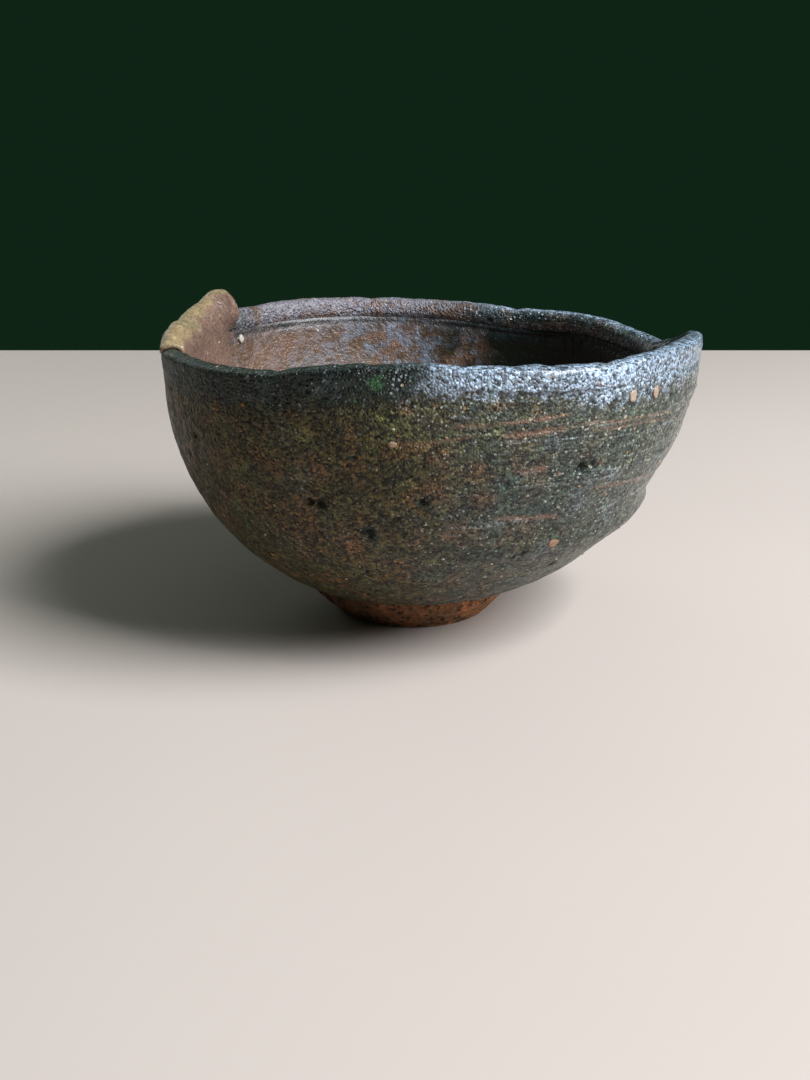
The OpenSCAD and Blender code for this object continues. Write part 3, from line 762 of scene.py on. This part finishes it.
def ironGlaze(name, look):
    material, tree, shader, coords = newFinish(name)
    colours, patterns, reach = ironGlazeColours, ironGlazePatterns, ironGlazeReach
    x, y, z = axesOf(tree, coords)
    large = place(tree, kilnMottle, Vector=coords, **patterns["large"]).outputs[0]
    patch = place(tree, kilnMottle, Vector=coords, **patterns["patch"]).outputs[0]
    mossPatch = place(tree, kilnMottle, Vector=scaled(tree, coords, 0.97), **patterns["moss"]).outputs[0]
    cloud = place(tree, kilnMottle, Vector=coords, **patterns["cloud"]).outputs[0]
    grain = place(tree, sandGrain, Vector=coords, **patterns["grain"])
    coarse = place(tree, sandGrain, Vector=coords, **patterns["coarse"])
    # brown at the lobe's side, olive grey towards the point
    shift = math2(tree, "ADD", x, times(tree, math2(tree, "SUBTRACT", large, 0.5), 0.035))
    toRight = mapRange(tree, shift, *reach["olive"])
    colour = mixColour(tree, toRight, colours["brown"], colours["olive"])
    colour = mixColour(tree, times(tree, mossPatch, 0.6), colour, colours["moss"])
    rustShare = times(tree, patch, mapRange(tree, x, *reach["rust"]))
    rustShare = math2(tree, "MAXIMUM", rustShare, times(tree, mark(tree, "rust"), 0.62))
    colour = mixColour(tree, rustShare, colour, colours["rust"])
    colour = mixColour(tree, times(tree, mark(tree, "moss"), 0.75), colour, colours["mossBright"])
    colour = mixColour(tree, times(tree, mark(tree, "frost"), 0.45), colour, colours["frost"])
    colour = mixColour(tree, times(tree, cloud, mapRange(tree, x, *reach["dark"])), colour, colours["dark"])
    # the rim's blue-black fades down the wall; it ends crisply in the middle of the front
    drop = math2(tree, "ADD", mark(tree, "drop"), times(tree, math2(tree, "SUBTRACT", cloud, 0.5), 2.8))
    crisp = times(tree, mapRange(tree, x, *reach["crispLeft"]), mapRange(tree, x, *reach["crispRight"]))
    crisp = times(tree, crisp, mapRange(tree, y, *reach["crispFront"]))
    bandShare = mapRange(tree, drop, mapRange(tree, crisp, 0.0, 1.0, *reach["fadeFrom"]),
                         mapRange(tree, crisp, 0.0, 1.0, *reach["fadeTo"]), look["band"], 0.0)
    # painted sheen: the band is painted pale blue-white where it catches the window light, from the middle of the
    # front to the point
    pale = times(tree, mapRange(tree, shift, *reach["pale"]), mapRange(tree, x, *reach["pointFade"]))
    bandColour = mixColour(tree, pale, colours["band"], colours["bandSheen"])
    behind = times(tree, mapRange(tree, y, *reach["behind"]), mapRange(tree, x, *reach["backLeft"]))
    # painted sheen: the back of the band, facing the light, is painted lavender-pale, mixed with real rust patches
    backSheenAndRust = mixColour(tree, times(tree, patch, 0.8), colours["backSheen"], colours["backRust"])
    bandColour = mixColour(tree, behind, bandColour, backSheenAndRust)
    # painted shade: the inner face of the band, turned away from the light, is painted dark behind the point
    insideShade = times(tree, mark(tree, "inward"), mapRange(tree, x, *reach["bandInsideShade"]))
    bandColour = mixColour(tree, insideShade, bandColour, mixColour(tree, patch, colours["band"], colours["bandInsideShade"]))
    colour = mixColour(tree, bandShare, colour, bandColour)
    lines = place(tree, ribLines, Vector=coords, **patterns["lines"]).outputs[0]
    # painted sheen: the ridges of the rib lines are painted pale towards the point, where they catch the light
    fine = times(tree, mapRange(tree, lines, 0.58, 0.72), mapRange(tree, z, *reach["fineLines"]))
    sheenLines = math2(tree, "MAXIMUM", mapRange(tree, mark(tree, "line"), 0.74, 0.98), fine)
    colour = mixColour(tree, times(tree, sheenLines, times(tree, toRight, 0.42)), colour, colours["streak"])
    greenSpot = place(tree, kilnMottle, Vector=coords, **patterns["greenSpot"]).outputs[0]
    colour = mixColour(tree, times(tree, mark(tree, "teal"), 0.6), colour, colours["teal"])
    greenShare = times(tree, math2(tree, "MAXIMUM", greenSpot, mark(tree, "green")), 0.62)
    colour = mixColour(tree, greenShare, colour, colours["green"])
    # grains, some dark and some pale, but smoother inside at the back
    grainShade = mapRange(tree, grain.outputs["Shade"], 0.47, 1.12, 0.12, 2.1)
    calm = addNode(tree, "ShaderNodeMix", data_type="FLOAT")
    feed(tree, times(tree, behind, times(tree, bandShare, 0.65)), calm.inputs[0])
    feed(tree, grainShade, calm.inputs[2])
    calm.inputs[3].default_value = 1.0
    colour = toned(tree, colour, calm.outputs[0])
    worn = times(tree, mapRange(tree, coarse.outputs["Shade"], 1.06, 1.22), 0.6)
    colour = mixColour(tree, worn, colour, colours["bare"])
    colour = mixColour(tree, times(tree, mark(tree, "groove"), 0.7), colour, colours["bare"])
    specks = place(tree, scatterSpots, Vector=coords, **patterns["specks"])
    tint = mapRange(tree, specks.outputs["Tint"], 0.45, 0.55)
    speckColour = mixColour(tree, tint, colours["ochreSpeck"], colours["paleSpeck"])
    colour = mixColour(tree, times(tree, specks.outputs["Spot"], 0.8), colour, speckColour)
    holes = place(tree, scatterSpots, Vector=coords, **patterns["holes"])
    dark = math2(tree, "MAXIMUM", times(tree, holes.outputs["Spot"], 0.8), mark(tree, "pit"))
    colour = mixColour(tree, times(tree, dark, 0.94), colour, colours["hole"])
    # fine dark points, and painted glints: grains painted bright towards the light side
    ink = place(tree, scatterSpots, Vector=coords, **patterns["ink"])
    colour = mixColour(tree, times(tree, ink.outputs["Spot"], 0.72), colour, colours["ink"])
    glint = place(tree, scatterSpots, Vector=scaled(tree, coords, 0.93), **patterns["glint"])
    bright = times(tree, mapRange(tree, shift, *reach["glint"]), glint.outputs["Spot"])
    bright = times(tree, bright, mapRange(tree, bandShare, 0.0, 1.0, 0.8, 1.0))
    colour = mixColour(tree, bright, colour, mixColour(tree, bandShare, colours["glint"], colours["bandGlint"]))
    feed(tree, colour, shader.inputs["Base Color"])
    # satin where the glaze is thick, dull in the pits
    sheen = mapRange(tree, cloud, 0.0, 1.0, look["roughLow"], look["roughHigh"])
    feed(tree, math2(tree, "ADD", sheen, times(tree, dark, 0.35), clamp=True), shader.inputs["Roughness"])
    shader.inputs["Specular IOR Level"].default_value = look["specular"]
    # wet-looking grains towards the point and near the rim, dull low down
    shine = mapRange(tree, shift, *reach["shine"], 0.05, look["coat"])
    shine = times(tree, shine, mapRange(tree, z, *reach["shineUp"]))
    shine = times(tree, shine, mapRange(tree, grain.outputs["Shade"], 0.45, 1.0, 0.3, 1.0))
    feed(tree, times(tree, math2(tree, "SUBTRACT", 1.0, dark), shine), shader.inputs["Coat Weight"])
    shader.inputs["Coat Roughness"].default_value = look["coatRough"]
    shader.inputs["Coat Tint"].default_value = colours["coatTint"]
    normal = bumpFrom(tree, times(tree, lines, mapRange(tree, x, *reach["lines"])), look["lines"], 0.0005)
    normal = bumpFrom(tree, coarse.outputs["Height"], look["coarse"], 0.0005, normal)
    normal = bumpFrom(tree, grain.outputs["Height"], look["grain"], 0.0005, normal)
    normal = bumpFrom(tree, math2(tree, "SUBTRACT", 1.0, holes.outputs["Spot"]), 0.7, 0.0004, normal)
    feed(tree, normal, shader.inputs["Normal"])
    return material


insideGlazePatterns = {
    "patch": {"Size": 0.012, "Low": 0.42, "High": 0.62}, "cloud": {"Size": 0.0032, "Low": 0.42, "High": 0.66},
    "grain": {"Size": 0.00055}, "coarse": {"Size": 0.0013},
    "specks": {"Spacing": 0.0032, "Share": 0.2, "Radius": 0.11},
    "holes": {"Spacing": 0.0026, "Share": 0.2, "Radius": 0.14},
}


def insideGlaze(name, look):
    material, tree, shader, coords = newFinish(name)
    patterns = insideGlazePatterns
    x = axesOf(tree, coords)[0]
    patch = place(tree, kilnMottle, Vector=coords, **patterns["patch"]).outputs[0]
    cloud = place(tree, kilnMottle, Vector=coords, **patterns["cloud"]).outputs[0]
    grain = place(tree, sandGrain, Vector=coords, **patterns["grain"])
    coarse = place(tree, sandGrain, Vector=coords, **patterns["coarse"])
    colour = mixColour(tree, patch, look["pink"], look["brown"])
    bluer = mapRange(tree, x, *look["bluerReach"])  # more of the blue towards the middle, partly the glaze's colour and partly painted sheen
    colour = mixColour(tree, times(tree, cloud, bluer), colour, look["grey"])
    # nearly black on the pointed side: a darker glaze there, with painted shade where the inner wall faces away from
    # the light
    shift = math2(tree, "ADD", x, times(tree, math2(tree, "SUBTRACT", patch, 0.5), 0.012))
    colour = mixColour(tree, mapRange(tree, shift, *look["deepShadeReach"]), colour, look["deep"])
    drop = math2(tree, "ADD", mark(tree, "drop"), times(tree, math2(tree, "SUBTRACT", cloud, 0.5), 3.0))
    colour = mixColour(tree, mapRange(tree, drop, 5.0, 9.0, look["band"], 0.0), colour, look["rim"])
    # pale ash along the top of the lobe
    ash = times(tree, mark(tree, "ash"), mapRange(tree, cloud, 0.0, 1.0, 0.75, 1.0))
    colour = mixColour(tree, ash, colour, mixColour(tree, patch, look["ochre"], look["straw"]))
    colour = toned(tree, colour, mapRange(tree, grain.outputs["Shade"], 0.35, 1.25, 0.62, 1.4))
    specks = place(tree, scatterSpots, Vector=coords, **patterns["specks"])
    colour = mixColour(tree, times(tree, specks.outputs["Spot"], 0.7), colour, look["speck"])
    holes = place(tree, scatterSpots, Vector=coords, **patterns["holes"])
    dark = math2(tree, "MAXIMUM", times(tree, holes.outputs["Spot"], 0.7), mark(tree, "pit"))
    colour = mixColour(tree, times(tree, dark, 0.85), colour, look["hole"])
    feed(tree, colour, shader.inputs["Base Color"])
    feed(tree, mapRange(tree, cloud, 0.0, 1.0, look["roughLow"], look["roughHigh"]), shader.inputs["Roughness"])
    shine = mapRange(tree, shift, *look["shineReach"], look["coat"], 0.02)
    feed(tree, times(tree, math2(tree, "SUBTRACT", 1.0, dark), shine), shader.inputs["Coat Weight"])
    shader.inputs["Specular IOR Level"].default_value = look["specular"]
    shader.inputs["Coat Roughness"].default_value = look["coatRough"]
    normal = bumpFrom(tree, coarse.outputs["Height"], look["coarse"], 0.0005)
    normal = bumpFrom(tree, grain.outputs["Height"], look["grain"], 0.0003, normal)
    feed(tree, normal, shader.inputs["Normal"])
    return material


bareClayPatterns = {
    "patch": {"Size": 0.006, "Low": 0.38, "High": 0.62}, "cloud": {"Size": 0.0018, "Low": 0.50, "High": 0.62},
    "grain": {"Size": 0.00055}, "coarse": {"Size": 0.0014},
    "specks": {"Spacing": 0.0024, "Share": 0.2, "Radius": 0.15},
    "holes": {"Spacing": 0.0018, "Share": 0.35, "Radius": 0.2},
}


def bareClay(name, look):
    material, tree, shader, coords = newFinish(name)
    patterns = bareClayPatterns
    x = axesOf(tree, coords)[0]
    patch = place(tree, kilnMottle, Vector=coords, **patterns["patch"]).outputs[0]
    cloud = place(tree, kilnMottle, Vector=coords, **patterns["cloud"]).outputs[0]
    grain = place(tree, sandGrain, Vector=coords, **patterns["grain"])
    coarse = place(tree, sandGrain, Vector=coords, **patterns["coarse"])
    colour = mixColour(tree, patch, look["red"], look["brown"])
    colour = mixColour(tree, times(tree, cloud, 0.9), colour, look["dark"])
    sideLight = mapRange(tree, x, *look["sideLightReach"])  # painted light and shade: the clay is painted brighter towards the lit pointed side and darker on the shaded side
    colour = toned(tree, colour, times(tree, sideLight, mapRange(tree, grain.outputs["Shade"], 0.35, 1.25, 0.5, 1.5)))
    specks = place(tree, scatterSpots, Vector=coords, **patterns["specks"])
    colour = mixColour(tree, times(tree, specks.outputs["Spot"], 0.7), colour, look["speck"])
    holes = place(tree, scatterSpots, Vector=coords, **patterns["holes"])
    dark = math2(tree, "MAXIMUM", times(tree, holes.outputs["Spot"], 0.85), mark(tree, "pit"))
    colour = mixColour(tree, dark, colour, look["hole"])
    feed(tree, colour, shader.inputs["Base Color"])
    feed(tree, mapRange(tree, cloud, 0.0, 1.0, look["roughLow"], look["roughHigh"]), shader.inputs["Roughness"])
    normal = bumpFrom(tree, coarse.outputs["Height"], look["coarse"], 0.0006)
    normal = bumpFrom(tree, grain.outputs["Height"], look["grain"], 0.0003, normal)
    feed(tree, normal, shader.inputs["Normal"])
    return material


wallLook = {"band": 0.92, "roughLow": 0.36, "roughHigh": 0.55, "specular": 0.26, "coat": 0.85, "coatRough": 0.19,
            "lines": 0.7, "coarse": 0.7, "grain": 1.0}
rimLook = {"band": 0.92, "roughLow": 0.36, "roughHigh": 0.50, "specular": 0.35, "coat": 1.0, "coatRough": 0.22,
           "lines": 0.4, "coarse": 0.6, "grain": 1.0}
insideLook = {
    "pink": (0.152, 0.086, 0.056), "brown": (0.105, 0.062, 0.038), "grey": (0.155, 0.175, 0.215),
    # deep is a dark glaze with painted shade on top
    "deep": (0.004, 0.010, 0.005), "rim": (0.03, 0.045, 0.055), "ochre": (0.31, 0.225, 0.115),
    "straw": (0.25, 0.20, 0.11), "speck": (0.62, 0.55, 0.45), "hole": (0.012, 0.010, 0.009),
    "bluerReach": (-0.045, -0.010, 0.22, 0.95), "deepShadeReach": (0.001, 0.018, 0.0, 0.97), "shineReach": (0.000, 0.016),
    "band": 0.6, "roughLow": 0.32, "roughHigh": 0.5, "specular": 0.3, "coat": 0.5, "coatRough": 0.3,
    "coarse": 0.5, "grain": 0.65,
}
lobeLook = {
    **insideLook, "pink": (0.17, 0.100, 0.072), "brown": (0.13, 0.074, 0.052), "grey": (0.14, 0.112, 0.098),
    "band": 0.0, "coat": 0.3, "coarse": 0.35, "grain": 0.5,
}
clayLook = {
    "red": (0.32, 0.115, 0.036), "brown": (0.16, 0.068, 0.022), "dark": (0.025, 0.016, 0.006),
    "speck": (0.45, 0.27, 0.13), "hole": (0.010, 0.007, 0.004), "sideLightReach": (-0.020, 0.015, 0.66, 1.5),
    "roughLow": 0.72, "roughHigh": 0.92, "coarse": 0.8, "grain": 0.8,
}
wallFinish, rimFinish = ironGlaze("ironGlaze", wallLook), ironGlaze("rimGlaze", rimLook)
liningFinish, lobeFinish = insideGlaze("insideGlaze", insideLook), insideGlaze("ashLobe", lobeLook)
clayFinish = bareClay("bareClay", clayLook)
for obj, finish in ((wallCoat, wallFinish), (bandPiece, rimFinish), (liningPiece, liningFinish),
                    (lobePiece, lobeFinish), (footPiece, clayFinish), (clayPiece, clayFinish)):
    obj.data.materials.append(finish)
print("finishes made")

# stones that have come through the glaze
stones = {
    "seed": 5, "density": 9000.0, "smallest": 0.00016, "largest": 0.00042,
    "lowest": 58, "highest": 6,  # the scattered ones lie between these drops from the rim, in mm
    # larger ones: bearing, height, radius, flatness, tone from ochre (0) through tan (0.5) to cream (1)
    "single": [(313, 64.4, 1.4, 0.28, 0.84), (320, 64.2, 1.55, 0.26, 0.82), (235, 63, 0.55, 0.5, 0.2),
               (226, 61, 0.6, 0.5, 0.1), (266, 57.6, 0.9, 0.3, 0.8), (150, 48, 0.9, 0.4, 0.5),
               (95, 55, 1.0, 0.4, 0.6), (60, 35, 0.8, 0.4, 0.4), (20, 48, 0.8, 0.4, 0.5),
               (303, 31.7, 1.5, 0.22, 0.5), (230, 26, 0.6, 0.5, 0.3), (118, 27, 0.9, 0.4, 0.6)],
    "inside": [(145.6, 63.2, 1.15, 0.45, 1.0), (118, 62.5, 0.5, 0.5, 0.9)],
    "ruggedness": 0.34,
    "ochre": (0.30, 0.145, 0.03), "tan": (0.36, 0.20, 0.115), "cream": (0.50, 0.46, 0.38),
    "shade": (0.12, 0.08, 0.05),
}


def stoneFinish():
    material, tree, shader, coords = newFinish("gritStone")
    shade = mark(tree, "stoneShade")
    blotch = place(tree, kilnMottle, Vector=coords, Size=0.0006, Low=0.35, High=0.65).outputs[0]
    colour = mixColour(tree, mapRange(tree, shade, 0.3, 0.5), stones["ochre"], stones["tan"])
    colour = mixColour(tree, mapRange(tree, shade, 0.75, 0.95), colour, stones["cream"])
    colour = mixColour(tree, times(tree, blotch, 0.45), colour, stones["shade"])
    feed(tree, colour, shader.inputs["Base Color"])
    feed(tree, mapRange(tree, blotch, 0.0, 1.0, 0.45, 0.75), shader.inputs["Roughness"])
    feed(tree, bumpFrom(tree, blotch, 0.5, 0.0002), shader.inputs["Normal"])
    return material


# Geometry Nodes: stones scattered over a surface
def stoneTree(finish):
    tree = bpy.data.node_groups.new("scatterStones", "GeometryNodeTree")
    # the geometry has to be the first input
    tree.interface.new_socket("Geometry", in_out="INPUT", socket_type="NodeSocketGeometry")
    tree.interface.new_socket("Geometry", in_out="OUTPUT", socket_type="NodeSocketGeometry")
    for label, kind, value in (("Density", "NodeSocketFloat", 1000.0), ("Smallest", "NodeSocketFloat", 0.0002),
                               ("Largest", "NodeSocketFloat", 0.0005), ("Seed", "NodeSocketInt", 1)):
        socket = tree.interface.new_socket(label, in_out="INPUT", socket_type=kind)
        socket.default_value = value
    entry, out = addNode(tree, "NodeGroupInput", (-900, 0)), addNode(tree, "NodeGroupOutput", (900, 0))
    spread = addNode(tree, "GeometryNodeDistributePointsOnFaces", (-600, 0))
    stone = addNode(tree, "GeometryNodeMeshUVSphere", (-600, -300))
    stone.inputs["Segments"].default_value, stone.inputs["Rings"].default_value = 7, 5
    stone.inputs["Radius"].default_value = 1.0
    squash = addNode(tree, "GeometryNodeTransform", (-350, -300))
    squash.inputs["Scale"].default_value = (1.0, 0.8, 0.55)
    many = addNode(tree, "GeometryNodeInstanceOnPoints", (-100, 0))
    size = addNode(tree, "FunctionNodeRandomValue", (-350, -600), data_type="FLOAT")
    tone = addNode(tree, "FunctionNodeRandomValue", (-100, -600), data_type="FLOAT")
    store = addNode(tree, "GeometryNodeStoreNamedAttribute", (150, 0), data_type="FLOAT", domain="INSTANCE")
    store.inputs["Name"].default_value = "stoneShade"
    real = addNode(tree, "GeometryNodeRealizeInstances", (400, 0))
    paint = addNode(tree, "GeometryNodeSetMaterial", (650, 0))
    paint.inputs["Material"].default_value = finish
    join = tree.links.new
    join(entry.outputs["Geometry"], spread.inputs["Mesh"])
    join(entry.outputs["Density"], spread.inputs["Density"])
    join(entry.outputs["Seed"], spread.inputs["Seed"])
    join(entry.outputs["Seed"], size.inputs["Seed"])
    join(entry.outputs["Seed"], tone.inputs["Seed"])
    join(entry.outputs["Smallest"], size.inputs[2])
    join(entry.outputs["Largest"], size.inputs[3])
    join(stone.outputs["Mesh"], squash.inputs["Geometry"])
    join(spread.outputs["Points"], many.inputs["Points"])
    join(spread.outputs["Rotation"], many.inputs["Rotation"])
    join(squash.outputs["Geometry"], many.inputs["Instance"])
    join(size.outputs[1], many.inputs["Scale"])
    join(many.outputs["Instances"], store.inputs["Geometry"])
    join(tone.outputs[1], store.inputs["Value"])
    join(store.outputs["Geometry"], real.inputs["Geometry"])
    join(real.outputs["Geometry"], paint.inputs["Geometry"])
    join(paint.outputs["Geometry"], out.inputs["Geometry"])
    return tree


def setInput(modifier, label, value):
    for item in modifier.node_group.interface.items_tree:
        if item.item_type == "SOCKET" and item.in_out == "INPUT" and item.name == label:
            modifier[item.identifier] = value


stoneMaterial = stoneFinish()
host = bpy.data.objects.new("stoneHost", wallCoat.data.copy())
bpy.context.scene.collection.objects.link(host)
carved = bmesh.new()  # stones only lie on the outside, clear of the edges
carved.from_mesh(host.data)
dropLayer = carved.verts.layers.float.get("drop")
# the coat's own back is marked with a drop of 20
hidden = [f for f in carved.faces if any(v[dropLayer] > stones["lowest"] or v[dropLayer] < stones["highest"]
                                         or 19.9 < v[dropLayer] < 20.1 for v in f.verts)]
bmesh.ops.delete(carved, geom=hidden, context="FACES")
carved.to_mesh(host.data)
carved.free()
scatter = host.modifiers.new("stones", "NODES")
scatter.node_group = stoneTree(stoneMaterial)
for label, key in (("Density", "density"), ("Smallest", "smallest"), ("Largest", "largest"), ("Seed", "seed")):
    setInput(scatter, label, stones[key])
evaluated = host.evaluated_get(bpy.context.evaluated_depsgraph_get())
gritMesh = bpy.data.meshes.new_from_object(evaluated)
host.modifiers.remove(scatter)
bpy.data.objects.remove(host)
grit = bpy.data.objects.new("gritStones", gritMesh)
bpy.context.scene.collection.objects.link(grit)

rng = np.random.default_rng(stones["seed"])
singles = bmesh.new()
shadeLayer = singles.verts.layers.float.new("stoneShade")
for side in ("single", "inside"):
    for at, height, radius, flatness, tone in stones[side]:
        bearing = np.array([float(at)])
        reachHere, above, below = (float(wallReach(bearing, np.array([height + up]))[0])
                                   for up in (0.0, 1.0, -1.0))
        slope = (above - below) / 2
        if side == "inside":
            liningR, liningZ = liningPoint(bearing, np.linspace(0.5, 1, 400), bowl["lining"])
            reachHere = float(np.interp(height, liningZ, liningR))
        angle = math.radians(at)
        outward = Vector((math.cos(angle), math.sin(angle) * bowl["oval"], -slope)).normalized()
        turnTo = outward.to_track_quat("Z", "Y")
        flat = reachHere * Vector((math.cos(angle), bowl["oval"] * math.sin(angle)))
        centre = Vector((bowl["footX"] + flat.x, flat.y, height))
        stretch = rng.uniform(0.75, 1.0)
        for v in bmesh.ops.create_icosphere(singles, subdivisions=3, radius=1.0)["verts"]:
            size = radius * (1 + stones["ruggedness"] * float(softNoise(v.co.x + at, v.co.y, v.co.z, 0.8, 96)))
            shape = Vector((v.co.x * size, v.co.y * size * stretch, v.co.z * size * flatness))
            v.co = (centre + turnTo @ shape) * mm
            v[shadeLayer] = tone
singleMesh = bpy.data.meshes.new("singles")
singles.to_mesh(singleMesh)
singles.free()
singleMesh.materials.append(stoneMaterial)
singlePiece = bpy.data.objects.new("singleStones", singleMesh)
bpy.context.scene.collection.objects.link(singlePiece)
for piece in (grit, singlePiece):
    piece.data.polygons.foreach_set("use_smooth", np.ones(len(piece.data.polygons), bool))
print("stones:", len(grit.data.polygons), "+", len(singlePiece.data.polygons), "faces")

# riding and replacing
for piece, node, slot in ((wallCoat, "outer_glaze", "iron_glaze"), (bandPiece, "rim_coil", "rim_glaze"),
                          (liningPiece, "inner_glaze", "inside_glaze"), (lobePiece, "overlap_flap", "ash_lobe"),
                          (footPiece, "foot_ring", "bare_clay"), (clayPiece, "bowl_body", "clay_wall"),
                          (grit, "stone_grit", "grit_stone"), (singlePiece, "stone_grit", "grit_stone")):
    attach(piece, "root")
    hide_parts(node)

# floor, light and camera
stage = {
    "floorColour": (0.50, 0.427, 0.384), "back": 0.365, "front": -1.2, "side": 1.1,
    "key": {"from": (0.753, -0.351, 0.80), "wide": 0.52, "tall": 0.72, "watts": 31.8, "colour": (0.90, 0.95, 1.0)},
    "top": {"from": (-0.05, 0.15, 0.85), "wide": 0.7, "tall": 0.7, "watts": 0.32, "colour": (0.90, 1.0, 0.93)},
    "behind": {"from": (-0.45, 0.50, 0.40), "wide": 0.5, "tall": 0.5, "watts": 0.85, "colour": (0.92, 1.0, 0.95)},
    "world": (0.0050, 0.0178, 0.0080), "worldStrength": 1.0,
}
floorMesh = bpy.data.meshes.new("floor")
floorMesh.from_pydata([(-stage["side"], stage["front"], 0), (stage["side"], stage["front"], 0),
                       (stage["side"], stage["back"], 0), (-stage["side"], stage["back"], 0)], [], [(0, 1, 2, 3)])
floor = bpy.data.objects.new("floor", floorMesh)
bpy.context.scene.collection.objects.link(floor)
floorFinish, tree, shader, coords = newFinish("paleFloor")
soft = place(tree, kilnMottle, Vector=coords, Size=0.12, Low=0.3, High=0.7).outputs[0]
feed(tree, mixColour(tree, times(tree, soft, 0.25), stage["floorColour"],
                     tuple(0.93 * c for c in stage["floorColour"])), shader.inputs["Base Color"])
shader.inputs["Roughness"].default_value = 0.65
floorMesh.materials.append(floorFinish)
floor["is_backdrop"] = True


def softLight(name, look):
    light = bpy.data.lights.new(name, "AREA")
    light.shape = "RECTANGLE"
    light.size, light.size_y = look["wide"], look["tall"]
    light.energy = look["watts"]
    light.color = look["colour"]
    obj = bpy.data.objects.new(name, light)
    obj.location = look["from"]
    obj.rotation_euler = (Vector((0, 0, 0.03)) - Vector(look["from"])).to_track_quat("-Z", "Y").to_euler()
    bpy.context.scene.collection.objects.link(obj)
    return obj


softLight("windowLight", stage["key"])
softLight("ceilingLight", stage["top"])
softLight("backFill", stage["behind"])
world = bpy.data.worlds.new("dimRoom")
world.use_nodes = True
world.node_tree.nodes["Background"].inputs["Color"].default_value = (*stage["world"], 1.0)
world.node_tree.nodes["Background"].inputs["Strength"].default_value = stage["worldStrength"]
bpy.context.scene.world = world

view = {"lens": 40.0, "sensor": 36.0, "aside": bowl["footX"] * mm - 0.00196, "away": -0.292, "height": 0.118,
        "down": 19.16}
camera = bpy.data.cameras.new("camera")
camera.lens, camera.sensor_width = view["lens"], view["sensor"]
camera.clip_start = 0.01
cameraObject = bpy.data.objects.new("camera", camera)
cameraObject.location = (view["aside"], view["away"], view["height"])
cameraObject.rotation_euler = (math.radians(90 - view["down"]), 0, 0)
bpy.context.scene.collection.objects.link(cameraObject)
bpy.context.scene.camera = cameraObject
bpy.context.scene.view_settings.view_transform = "Standard"

low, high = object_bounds()
for label, box in (("visual box", (*low, *high)), ("cad box", (*cadLow, *cadHigh))):
    print(label, [round(v / mm, 1) for v in box], "mm")
